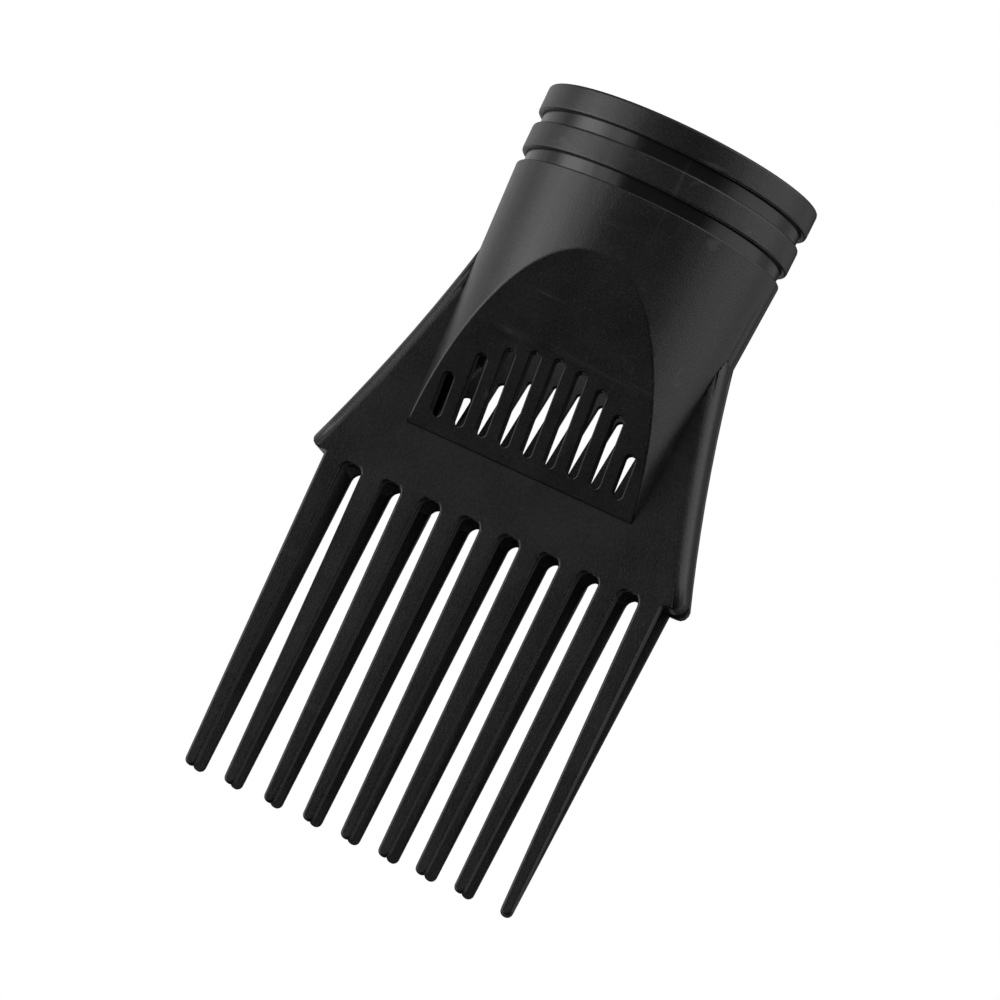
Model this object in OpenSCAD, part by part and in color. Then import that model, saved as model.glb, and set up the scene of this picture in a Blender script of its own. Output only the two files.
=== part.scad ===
// Comb nozzle for a hair dryer: a push-on collar, a round duct that is cut
// to two sloping vented faces, and two facing rows of nine wide-set teeth.
// Units are millimetres. Z runs from the tooth tips (0) up to the collar rim.
// X is the width of the comb, Y its depth, and the front is at -Y.

/* [Whole] */
// Height from the tooth tips to the collar rim
total_h = 135.7; // [125:0.1:150]
// Shape to draw

/* [Collar] */
// Radius of the socket that slides over the dryer barrel
bore_r = 23; // [21:0.1:23.4]
// Depth of the socket from the rim to its stop lip
bore_depth = 21.2; // [12:0.1:22]
// Radius of the opening inside the stop lip
stop_r = 21.8; // [18:0.1:22.4]
// Outer radius of the sleeve at the rim
sleeve_top_r = 25.35; // [24.6:0.01:25.4]
// Outer radius of the sleeve where it enters the duct
sleeve_low_r = 24.7; // [24.4:0.01:24.9]
// Radius of the spigot inside the duct
spigot_r = 24.2; // [23.6:0.01:24.4]
// Depth of the spigot below the duct's top edge
spigot_h = 8; // [4:0.1:10]
// Height of each grip band
band_h = 4.9; // [3:0.1:6]
// Height of each groove beside a band
groove_h = 2.45; // [1:0.05:4]
// Outer radius of the upper band at its top
upper_band_r = 26.3; // [25.6:0.01:27]
// Outer radius of the lower band at its top
lower_band_r = 26; // [25.4:0.01:26.6]
// Small bevel on the band and rim edges
edge_bevel = 0.25; // [0.1:0.05:0.5]

/* [Duct] */
// Outer radius of the duct at its top edge
duct_top_r = 25.7; // [24:0.05:27]
// Radius lost per millimetre of height going down
duct_taper = 0.052; // [0.01:0.001:0.06]
// Wall thickness of the duct
duct_wall = 2.2; // [1.6:0.1:3]
// Height of the level lower edge of the sloping faces
scoop_low_z = 70.7; // [66:0.1:76]
// Height where a sloping face runs out at the front of the duct
scoop_high_z = 109.3; // [100:0.1:114]
// Step from a sloping face down to the comb plate
scoop_step = 0.2; // [0.1:0.05:1]

/* [Vents] */
// Number of vent slots in each sloping face
vent_count = 9; // [3:2:11]
// Width of a vent slot
vent_w = 1.9; // [1.5:0.1:3]
// Distance between vent slots
vent_pitch = 4.45; // [3.5:0.05:6]
// Height of the lower ends of the slots
vent_low_z = 73.5; // [72:0.1:78]
// Height of the upper end of the middle slot
vent_high_z = 90.7; // [80:0.1:100]

/* [Comb] */
// Teeth in each row
tooth_count = 9; // [5:2:13]
// Distance between teeth at the roots
root_pitch = 7.78; // [6:0.01:9]
// Distance between teeth at the tips
tip_pitch = 7.62; // [6:0.01:9]
// Width of a tooth at its root
root_w = 3.95; // [2.5:0.05:5]
// Width of a tooth near its tip
tip_w = 2.2; // [1.2:0.05:3]
// Height of the tooth roots above the tips
root_z = 60.2; // [45:0.1:70]
// Half of the comb's depth from the middle to its face
half_depth = 6.6; // [5:0.1:8]
// Half of the comb's depth at the tooth tips
tip_half_depth = 4.8; // [3:0.1:6]
// Thickness of the comb plate and of a tooth at its root
plate_t = 2.4; // [1.8:0.1:3]
// Thickness of a tooth at its tip
tip_t = 1.5; // [1:0.1:2.4]
// How much of the small sideways leans of a used comb's teeth to keep
lean = 1; // [0:0.05:1]

/* [Wings] */
// Height of the shoulder underside
shoulder_z = 60.1; // [50:0.1:70]
// Height where the wings run into the duct
wing_top_z = 106.5; // [98:0.1:110]
// Radius of the hollow sweep of the wing edge
sweep_r = 317.7; // [200:0.1:500]
// Sideways place of the centre of that sweep
sweep_x = 335.6; // [200:0.05:520]
// Height of the centre of that sweep
sweep_z = 169.5; // [120:0.1:220]
// Radius along the long edges of the wings
edge_r = 2.8; // [2:0.1:4]
// Lean of each half's side face away from the parting line, in degrees
side_draft = 2; // [0.5:0.5:4]
// Size of the rounded shoulder corner
corner_r = 2.2; // [0.5:0.1:3]

/* [Hidden] */
$fn = 96;
e = 0.01;

duct_top_z = total_h - 2*band_h - 2*groove_h;
upper_low_z = total_h - band_h;
lower_top_z = upper_low_z - groove_h;
lower_low_z = lower_top_z - band_h;
spigot_low_z = duct_top_z - spigot_h;
stop_z = total_h - bore_depth;

function sleeve_r(z) = sleeve_low_r
    + (sleeve_top_r - sleeve_low_r)*(z - duct_top_z)/(total_h - duct_top_z);
function duct_r(z) = duct_top_r - duct_taper*(duct_top_z - z);
function wing_x(z) = sweep_x - sqrt(sweep_r*sweep_r - (z - sweep_z)*(z - sweep_z));

scoop_low_y = half_depth + scoop_step;
scoop_high_y = duct_r(scoop_high_z);
scoop_slope = (scoop_high_y - scoop_low_y)/(scoop_high_z - scoop_low_z);
scoop_wall_y = duct_wall*sqrt(1 + scoop_slope*scoop_slope);
inner_depth = half_depth - plate_t;
slot_r = (root_pitch - root_w)
    /(2 - (root_w - tip_w - root_pitch + tip_pitch)/root_z);
arch_z = root_z - slot_r;
arch_pitch = root_pitch - (root_pitch - tip_pitch)*slot_r/root_z;
edge_y = half_depth - edge_r;
edge_in = edge_y*tan(side_draft) + edge_r/cos(side_draft);
shoulder_wall = 2.4;
// Sideways lean of each tooth at its tip, each row seen from its own face.
front_lean = [-0.15, 0, 0.25, 0.3, 0.15, -0.1, -0.4, -0.45, 1.05];
rear_lean = [0.3, 0.3, 0, -0.15, -0.05, -0.15, 0.05, 0.4, 0.2];
comb_inner_x = (tooth_count - 1)/2*root_pitch;

// ---- collar --------------------------------------------------------------

module ring(z0, z1, r0, r1, ri0, ri1) {
    b = edge_bevel;
    rotate_extrude()
        polygon([[ri0, z0], [r0 - b, z0], [r0, z0 + b], [r1, z1 - b],
                 [r1 - b, z1], [ri1, z1]]);
}

module collar_sleeve() {
    color([0.035, 0.035, 0.037])
    difference() {
        rotate_extrude()
            polygon([[stop_r, spigot_low_z], [spigot_r, spigot_low_z],
                     [spigot_r, duct_top_z], [sleeve_low_r, duct_top_z],
                     [sleeve_top_r, total_h - e], [sleeve_top_r - 0.3, total_h],
                     [stop_r, total_h]]);
        translate([0, 0, stop_z]) cylinder(r = bore_r, h = bore_depth + 1);
    }
}

module upper_band() {
    color([0.06, 0.06, 0.062])
    ring(upper_low_z, total_h - e, upper_band_r - 0.05, upper_band_r,
         sleeve_r(upper_low_z), sleeve_r(total_h - e));
}

module lower_band() {
    color([0.06, 0.06, 0.062])
    ring(lower_low_z, lower_top_z, lower_band_r - 0.05, lower_band_r,
         sleeve_r(lower_low_z), sleeve_r(lower_top_z));
}

// ---- wings and comb ------------------------------------------------------

// Everything to the left of the right-hand wing's edge, from one outline that
// is turned about the centre of the sweep.
module swept() {
    translate([sweep_x, 0, sweep_z]) rotate([90, 0, 0]) rotate([0, 0, 188.5])
        rotate_extrude(angle = 12.5, $fn = 960) children();
}

// Outline of the plate: two faces, drafted sides and rounded long edges.
module wing_section() {
    c = sweep_r + edge_in;
    t = [c - edge_r*cos(side_draft), edge_y + edge_r*sin(side_draft)];
    far = sweep_r + 80;
    union() {
        polygon([[sweep_r, 0], t, [c, half_depth], [far, half_depth],
                 [far, -half_depth], [c, -half_depth], [t[0], -t[1]]]);
        translate([c, edge_y]) circle(r = edge_r, $fn = 64);
        translate([c, -edge_y]) circle(r = edge_r, $fn = 64);
    }
}

module hollow_section() {
    translate([sweep_r + plate_t, -inner_depth]) square([80, 2*inner_depth]);
}

module between(z0, z1) {
    intersection() {
        children(0);
        mirror([1, 0, 0]) children(0);
        translate([-60, -20, z0]) cube([120, 40, z1 - z0]);
    }
}

function tooth_x(i, z) =
    let (k = i - (tooth_count - 1)/2)
    k*(tip_pitch + (root_pitch - tip_pitch)*z/root_z);

function tooth_w(z) = tip_w + (root_w - tip_w)*z/root_z;

// Outline of one tooth with its round tip, leaning sideways by off.
module tooth_outline(i, off) {
    r = tip_w/2;
    zr = shoulder_z + 0.05;
    tip = [for (a = [-180:18:0])
        [tooth_x(i, 0) + off + r*cos(a), r + r*sin(a)]];
    polygon(concat(tip, [[tooth_x(i, zr) + tooth_w(zr)/2, zr],
                         [tooth_x(i, zr) - tooth_w(zr)/2, zr]]));
}

// Outline of the plate's lower edge: round-topped gaps between the teeth.
module plate_outline() {
    zc = arch_z;
    n = (tooth_count - 1)/2;
    x_end = n*arch_pitch;
    arches = [for (i = [0:tooth_count - 2]) for (a = [180:-9:0])
        [(i + 0.5 - n)*arch_pitch + slot_r*cos(a), zc + slot_r*sin(a)]];
    polygon(concat([[-x_end, zc]], arches,
        [[x_end, zc], [x_end, root_z + 1], [-x_end, root_z + 1]]));
}

module comb_outline(leans) {
    union() {
        plate_outline();
        for (i = [0:tooth_count - 1])
            tooth_outline(i, i < len(leans) ? lean*leans[i] : 0);
    }
}

// Front row of teeth with the lower edge of its plate.
module front_teeth(leans) {
    intersection() {
        translate([0, 1, 0]) rotate([90, 0, 0])
            linear_extrude(12) comb_outline(leans);
        translate([-50, 0, 0]) rotate([90, 0, 90])
            linear_extrude(100)
                polygon([[-tip_half_depth, -1], [-half_depth, shoulder_z],
                         [-half_depth, shoulder_z + 3],
                         [-inner_depth, shoulder_z + 3], [-inner_depth, shoulder_z],
                         [-tip_half_depth + tip_t, -1]]);
    }
}

module wings_solid() {
    difference() {
        between(shoulder_z, wing_top_z) swept() wing_section();
        shoulder_corner();
        mirror([1, 0, 0]) shoulder_corner();
    }
}

// Cutter that rounds the outer lower corner of the right-hand shoulder.
module shoulder_corner() {
    x = wing_x(shoulder_z + corner_r) - 0.1;
    c = corner_r;
    translate([0, 20, 0]) rotate([90, 0, 0]) linear_extrude(40)
        polygon([[x - c, shoulder_z - 1], [x - c, shoulder_z],
                 [x - 0.62*c, shoulder_z + 0.08*c], [x - 0.3*c, shoulder_z + 0.29*c],
                 [x - 0.09*c, shoulder_z + 0.62*c], [x, shoulder_z + c],
                 [x + 3, shoulder_z + c], [x + 3, shoulder_z - 1]]);
}

module wings_hollow() {
    between(shoulder_z + shoulder_wall, wing_top_z - 2.5) swept() hollow_section();
    translate([-comb_inner_x, -inner_depth, shoulder_z - 2])
        cube([2*comb_inner_x, 2*inner_depth, shoulder_wall + 3]);
}

// ---- duct ----------------------------------------------------------------

// Round duct between the two sloping faces.
module duct_solid() {
    h = duct_top_z - scoop_low_z;
    intersection() {
        translate([0, 0, scoop_low_z])
            cylinder(h = h, r1 = duct_r(scoop_low_z), r2 = duct_top_r);
        translate([-40, 0, 0]) rotate([90, 0, 90]) linear_extrude(80)
            polygon([[-scoop_low_y, scoop_low_z - 1],
                     [-scoop_low_y, scoop_low_z],
                     [-scoop_low_y - 40*scoop_slope, scoop_low_z + 40],
                     [-40, scoop_low_z + 60], [40, scoop_low_z + 60],
                     [scoop_low_y + 40*scoop_slope, scoop_low_z + 40],
                     [scoop_low_y, scoop_low_z],
                     [scoop_low_y, scoop_low_z - 1]]);
    }
}

module duct_hollow() {
    yl = scoop_low_y - scoop_wall_y;
    z0 = scoop_low_z - 2;
    z1 = spigot_low_z + 1;
    union() {
        intersection() {
            translate([0, 0, z0])
                cylinder(h = z1 - z0, r1 = duct_r(z0) - duct_wall,
                         r2 = duct_r(z1) - duct_wall);
            translate([-40, 0, 0]) rotate([90, 0, 90]) linear_extrude(80)
                polygon([[-yl + 2*scoop_slope, scoop_low_z - 2],
                         [-yl - 50*scoop_slope, scoop_low_z + 50],
                         [yl + 50*scoop_slope, scoop_low_z + 50],
                         [yl - 2*scoop_slope, scoop_low_z - 2]]);
        }
        translate([0, 0, spigot_low_z])
            cylinder(r = spigot_r, h = spigot_h + 1);
    }
}

module vents() {
    n = (vent_count - 1)/2;
    for (i = [-n:n]) {
        z1 = vent_low_z + (vent_high_z - vent_low_z)
             *sqrt(1 - pow(abs(i)/(n + 0.47), 2));
        translate([i*vent_pitch, 0, 0]) rotate([90, 0, 0])
            linear_extrude(60)
            union() {
                translate([-vent_w/2, vent_low_z + vent_w/2])
                    square([vent_w, z1 - vent_low_z - vent_w]);
                translate([0, vent_low_z + vent_w/2]) circle(r = vent_w/2);
                translate([0, z1 - vent_w/2]) circle(r = vent_w/2);
            }
    }
}

module front_half() {
    translate([-60, -60, -5]) cube([120, 60, 160]);
}

module duct_front_shape() {
    difference() {
        intersection() { duct_solid(); front_half(); }
        duct_hollow();
        wings_hollow();
        vents();
    }
}

module comb_front_shape(leans) {
    union() {
        difference() {
            intersection() { wings_solid(); front_half(); }
            wings_hollow();
            duct_cone_cut();
        }
        front_teeth(leans);
    }
}

// The duct's full round outline above the sloping faces' lower edge.
module duct_cone_cut() {
    translate([0, 0, scoop_low_z])
        cylinder(h = duct_top_z - scoop_low_z, r1 = duct_r(scoop_low_z),
                 r2 = duct_top_r);
}

module front_duct() {
    color([0.06, 0.06, 0.062]) duct_front_shape();
}

module rear_duct() {
    color([0.06, 0.06, 0.062]) rotate([0, 0, 180]) duct_front_shape();
}

module front_comb() {
    color([0.055, 0.055, 0.057]) comb_front_shape(front_lean);
}

module rear_comb() {
    color([0.055, 0.055, 0.057]) rotate([0, 0, 180]) comb_front_shape(rear_lean);
}

collar_sleeve();
upper_band();
lower_band();
front_duct();
rear_duct();
front_comb();
rear_comb();
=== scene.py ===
import math

import bpy
from mathutils import Matrix, Vector

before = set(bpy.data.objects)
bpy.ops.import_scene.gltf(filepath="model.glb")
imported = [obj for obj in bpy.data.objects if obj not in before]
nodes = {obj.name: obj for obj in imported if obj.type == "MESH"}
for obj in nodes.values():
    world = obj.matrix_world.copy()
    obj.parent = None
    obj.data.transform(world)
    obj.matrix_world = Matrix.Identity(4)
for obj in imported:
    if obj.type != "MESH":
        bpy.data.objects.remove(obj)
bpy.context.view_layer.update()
NODE_NAMES = ["collar_sleeve", "upper_band", "lower_band", "front_duct", "rear_duct",
              "front_comb", "rear_comb"]


def cad(name):
    return bpy.data.objects[name] if name in bpy.data.objects else nodes[name]


# ---- materials -------------------------------------------------------------
def plastic(name, base, rough, rough_var, grain_mm, grain_depth_mm, scuff, mottling, dust):
    """Moulded black plastic: fine spark-eroded grain, cloudy gloss, hairline scuffs and a little dust."""
    m = bpy.data.materials.new(name)
    m.use_nodes = True
    nt = m.node_tree
    nt.nodes.clear()
    new, link = nt.nodes.new, nt.links.new
    out = new("ShaderNodeOutputMaterial")
    p = new("ShaderNodeBsdfPrincipled")
    link(p.outputs["BSDF"], out.inputs["Surface"])
    p.inputs["IOR"].default_value = 1.5
    tc = new("ShaderNodeTexCoord")

    def noise(scale, detail, rough_=0.5, stretch=None, rot=None, dist=0.0):
        n = new("ShaderNodeTexNoise")
        n.inputs["Scale"].default_value = scale
        n.inputs["Detail"].default_value = detail
        n.inputs["Roughness"].default_value = rough_
        n.inputs["Distortion"].default_value = dist
        if stretch or rot:
            mp = new("ShaderNodeMapping")
            mp.inputs["Scale"].default_value = stretch or (1, 1, 1)
            mp.inputs["Rotation"].default_value = rot or (0, 0, 0)
            link(tc.outputs["Object"], mp.inputs["Vector"])
            link(mp.outputs["Vector"], n.inputs["Vector"])
        else:
            link(tc.outputs["Object"], n.inputs["Vector"])
        return n.outputs["Fac"]

    def ramp(value, lo, hi, a=0.0, b=1.0):
        r = new("ShaderNodeMapRange")
        r.clamp = True
        r.inputs["From Min"].default_value = lo
        r.inputs["From Max"].default_value = hi
        r.inputs["To Min"].default_value = a
        r.inputs["To Max"].default_value = b
        link(value, r.inputs["Value"])
        return r.outputs["Result"]

    def math_(op, a, b):
        n = new("ShaderNodeMath")
        n.operation = op
        for k, v in enumerate((a, b)):
            if isinstance(v, (int, float)):
                n.inputs[k].default_value = v
            else:
                link(v, n.inputs[k])
        return n.outputs[0]

    # cloudy variation in gloss and shade, and the fine grain of the mould
    cloud = noise(90, 5, 0.6)
    fine = noise(1000 / grain_mm, 3, 0.6)
    # hairline scuffs in three directions, broken up by a slow mask
    hair_a = ramp(noise(230, 3, 0.6, (1, 1, 0.05), (0.5, 0.3, 0.7), 0.4), 0.63, 0.69)
    hair_b = ramp(noise(280, 3, 0.6, (0.05, 1, 1), (0.2, 0.9, -0.6), 0.5), 0.635, 0.695)
    hair_c = ramp(noise(250, 3, 0.6, (0.06, 1, 1), (0.1, -0.4, 0.8), 0.6), 0.64, 0.70)
    mask = ramp(noise(60, 3, 0.6), 0.46, 0.62)
    hair = math_("MULTIPLY", math_("MAXIMUM", hair_a, math_("MAXIMUM", hair_b, hair_c)), mask)
    speck = ramp(noise(3600, 0, 0.5), 0.79, 0.82)

    shade = math_("ADD", math_("MULTIPLY", ramp(cloud, 0.3, 0.7), 0.35),
                  math_("MULTIPLY", ramp(fine, 0.3, 0.7), 0.65))
    mix = new("ShaderNodeMix")
    mix.data_type = "RGBA"
    mix.inputs[6].default_value = (*[c * (1 - mottling) for c in base], 1)
    mix.inputs[7].default_value = (*[c * (1 + mottling) for c in base], 1)
    link(shade, mix.inputs[0])
    mix2 = new("ShaderNodeMix")
    mix2.data_type = "RGBA"
    mix2.inputs[7].default_value = (0.09, 0.09, 0.088, 1)
    link(mix.outputs[2], mix2.inputs[6])
    light = math_("MAXIMUM", math_("MULTIPLY", hair, scuff), math_("MULTIPLY", speck, dust))
    link(light, mix2.inputs[0])
    link(mix2.outputs[2], p.inputs["Base Color"])

    r = ramp(cloud, 0.3, 0.7, rough - rough_var, rough + rough_var)
    r = math_("ADD", r, math_("MULTIPLY", hair, 0.1 * scuff))
    link(r, p.inputs["Roughness"])

    b = new("ShaderNodeBump")
    b.inputs["Strength"].default_value = 1.0
    b.inputs["Distance"].default_value = grain_depth_mm / 1000
    link(fine, b.inputs["Height"])
    b2 = new("ShaderNodeBump")
    b2.inputs["Strength"].default_value = 0.5
    b2.inputs["Distance"].default_value = 0.02 / 1000
    unevenness = math_("ADD", math_("MULTIPLY", hair, scuff), math_("MULTIPLY", noise(25, 2), 4.0))
    link(unevenness, b2.inputs["Height"])
    link(b.outputs["Normal"], b2.inputs["Normal"])
    link(b2.outputs["Normal"], p.inputs["Normal"])
    return m


body = plastic("body_plastic", (0.0135, 0.0135, 0.0138), 0.34, 0.04, 0.38, 0.036, 0.35,
               mottling=0.95, dust=0.6)
# The comb gets a copy of the body's plastic with a darker base colour. The darker base is painted shade; the
# comb's grain, scuffs and dust are real texture.
comb = plastic("comb_plastic_painted_shade", (0.0112, 0.0112, 0.0115), 0.36, 0.04, 0.42, 0.06, 0.12,
               mottling=0.98, dust=0.3)
groove = plastic("groove_plastic", (0.009, 0.009, 0.0092), 0.17, 0.03, 0.6, 0.004, 0.2,
                 mottling=0.3, dust=0.15)


# ---- rounded edges -----------------------------------------------------------
# Where the edges that get a round lie, in millimetres as in the CAD
DUCT_TOP_Z = 120.5  # just below the duct's top edge
SCOOP_LOW_Z, SCOOP_LOW_Y, SCOOP_SLOPE = 70.7, 6.8, 0.4739  # the sloping face's lower edge and slope
TIP_Y, PLATE_Y, PLATE_LOW_Z = 4.8, 6.6, 60.1  # the comb's outer face, from the tips to the plate
COMB_TOP_Z, COMB_SIDE_X = 63, 34.5  # the teeth and arches, without the wings


def edge_round(name, at):
    """Size in millimetres of the round along a sharp edge of one node, from the middle of the edge."""
    x, y, z = abs(at.x), abs(at.y), at.z
    if name == "collar_sleeve":
        return 0.1
    if name.endswith("band"):
        return 0.25
    if name.endswith("duct"):
        scoop = SCOOP_LOW_Y + SCOOP_SLOPE * (z - SCOOP_LOW_Z)
        if z > DUCT_TOP_Z or abs(y - scoop) < 0.3 or z < 71 and y > 6.5:
            return 0.3
        return 0.0
    rise = PLATE_LOW_Z + 1
    face = TIP_Y + (PLATE_Y - TIP_Y) * min(z + 1, rise) / rise
    if abs(y - face) < 0.08 and z < COMB_TOP_Z and x < COMB_SIDE_X:
        return 0.5
    return 0.0


def soften(o, name):
    """Gives each sharp edge of a node its round, through the edge weights that the bevel reads."""
    me = o.data
    spot = [tuple(round(c * 2e5) for c in v.co) for v in me.vertices]
    beside = {}
    for p in me.polygons:
        for k in p.edge_keys:
            beside.setdefault(frozenset(spot[i] for i in k), []).append(p.normal.copy())
    weight = me.attributes.new("bevel_weight_edge", "FLOAT", "EDGE")
    sharp = me.attributes.new("sharp_edge", "BOOLEAN", "EDGE")
    for e in me.edges:
        n = beside.get(frozenset(spot[i] for i in e.vertices), [])
        if len(n) == 2 and n[0].length > 0.5 and n[1].length > 0.5 and n[0].angle(n[1]) > math.radians(19.5):
            middle = (me.vertices[e.vertices[0]].co + me.vertices[e.vertices[1]].co) * 500
            weight.data[e.index].value = edge_round(name, middle)
            sharp.data[e.index].value = weight.data[e.index].value == 0
    weld = o.modifiers.new("join_faces", "WELD")
    weld.merge_threshold = 2e-6
    d = o.modifiers.new("clean", "DECIMATE")
    d.decimate_type = "DISSOLVE"
    d.angle_limit = math.radians(0.5)
    b = o.modifiers.new("edges", "BEVEL")
    b.width = 0.001
    b.segments = 3
    b.use_clamp_overlap = False
    b.limit_method = "WEIGHT"
    w = o.modifiers.new("normals", "WEIGHTED_NORMAL")
    w.keep_sharp = True
    for poly in me.polygons:
        poly.use_smooth = True


for name in NODE_NAMES:
    o = cad(name)
    mat = groove if name == "collar_sleeve" else comb if name.endswith("comb") else body
    for s in o.material_slots:
        s.material = mat
    if not o.material_slots:
        o.data.materials.append(mat)
    soften(o, name)

# ---- stage -----------------------------------------------------------------
# The floor lies a little below the hanging comb and ends before the picture's horizon. Its bounce
# would fill the dark underside, so only the camera sees it.
HALF, FLOOR_Z = 1.9, -0.09
me = bpy.data.meshes.new("floor")
corners = [(-HALF, -HALF), (HALF, -HALF), (HALF, HALF), (-HALF, HALF)]
me.from_pydata([(x, y, FLOOR_Z) for x, y in corners], [], [(0, 1, 2, 3)])
floor = bpy.data.objects.new("floor", me)
bpy.context.scene.collection.objects.link(floor)
fm = bpy.data.materials.new("floor_white")
fm.use_nodes = True
fm.node_tree.nodes["Principled BSDF"].inputs["Base Color"].default_value = (0.93, 0.93, 0.93, 1)
fm.node_tree.nodes["Principled BSDF"].inputs["Roughness"].default_value = 0.9
me.materials.append(fm)
floor.visible_diffuse = floor.visible_glossy = floor.visible_shadow = False

# ---- camera: long lens, from the front right and slightly below, rolled ------
AZ, EL, ROLL, DIST = math.radians(11.9), math.radians(-6.1), math.radians(26), 1.08
target = Vector((-0.00225, 0, 0.06572))
back = Vector((math.sin(AZ) * math.cos(EL), -math.cos(AZ) * math.cos(EL), math.sin(EL)))
right = Vector((math.cos(AZ), math.sin(AZ), 0))
up = right.cross(-back)
r2 = right * math.cos(ROLL) + up * math.sin(ROLL)
u2 = -right * math.sin(ROLL) + up * math.cos(ROLL)
cd = bpy.data.cameras.new("camera")
cam = bpy.data.objects.new("camera", cd)
bpy.context.scene.collection.objects.link(cam)
cd.sensor_width = 36
cd.lens = 221
cd.clip_start, cd.clip_end = 0.01, 100
m = Matrix((r2, u2, back)).transposed().to_4x4()
m.translation = target + back * DIST
cam.matrix_world = m
bpy.context.scene.camera = cam

# ---- light: a pale tent, bright on the left and above, dim in front and below --
scene = bpy.context.scene
scene.view_settings.view_transform = "Standard"
world = bpy.data.worlds.new("world")
scene.world = world
world.use_nodes = True
wt = world.node_tree
wt.nodes.clear()


def toward(az, el):
    az, el = math.radians(az), math.radians(el)
    return (math.sin(az) * math.cos(el), -math.cos(az) * math.cos(el), math.sin(el))


def lobe(direction, az, el, inner, outer, strength):
    """A soft round patch of light around one direction, inner and outer in degrees from its middle."""
    d = wt.nodes.new("ShaderNodeVectorMath")
    d.operation = "DOT_PRODUCT"
    wt.links.new(direction, d.inputs[0])
    d.inputs[1].default_value = toward(az, el)
    r = wt.nodes.new("ShaderNodeMapRange")
    r.interpolation_type = "SMOOTHSTEP"
    r.inputs["From Min"].default_value = math.cos(math.radians(outer))
    r.inputs["From Max"].default_value = math.cos(math.radians(inner))
    r.inputs["To Max"].default_value = strength
    wt.links.new(d.outputs["Value"], r.inputs["Value"])
    return r.outputs["Result"]


def total(a, b):
    n = wt.nodes.new("ShaderNodeMath")
    n.operation = "ADD"
    wt.links.new(a, n.inputs[0])
    if isinstance(b, float):
        n.inputs[1].default_value = b
    else:
        wt.links.new(b, n.inputs[1])
    return n.outputs[0]


coord = wt.nodes.new("ShaderNodeTexCoord").outputs["Generated"]
LIGHTS = [  # azimuth (0 is in front, left is negative), elevation, inner, outer, strength
    (-60, -8, 24, 42, 1.3),
    (-70, -8, 10, 24, 1.6),
    (-130, -10, 15, 50, 0.6),
    (88, 34, 16, 48, 1.3),
    (20, 66, 15, 50, 0.8),
    (135, 0, 10, 40, 0.3),
]
amount = total(lobe(coord, 0, 60, 20, 130, 0.07), 0.02)  # a dim wide patch and an even glow
for spec in LIGHTS:
    amount = total(amount, lobe(coord, *spec))
tent = wt.nodes.new("ShaderNodeBackground")
tent.inputs["Color"].default_value = (1, 1, 1, 1)
wt.links.new(amount, tent.inputs["Strength"])
plain = wt.nodes.new("ShaderNodeBackground")
plain.inputs["Color"].default_value = (1, 1, 1, 1)
mixer = wt.nodes.new("ShaderNodeMixShader")
wt.links.new(wt.nodes.new("ShaderNodeLightPath").outputs["Is Camera Ray"], mixer.inputs[0])
wt.links.new(tent.outputs[0], mixer.inputs[1])
wt.links.new(plain.outputs[0], mixer.inputs[2])
wt.links.new(mixer.outputs[0], wt.nodes.new("ShaderNodeOutputWorld").inputs["Surface"])
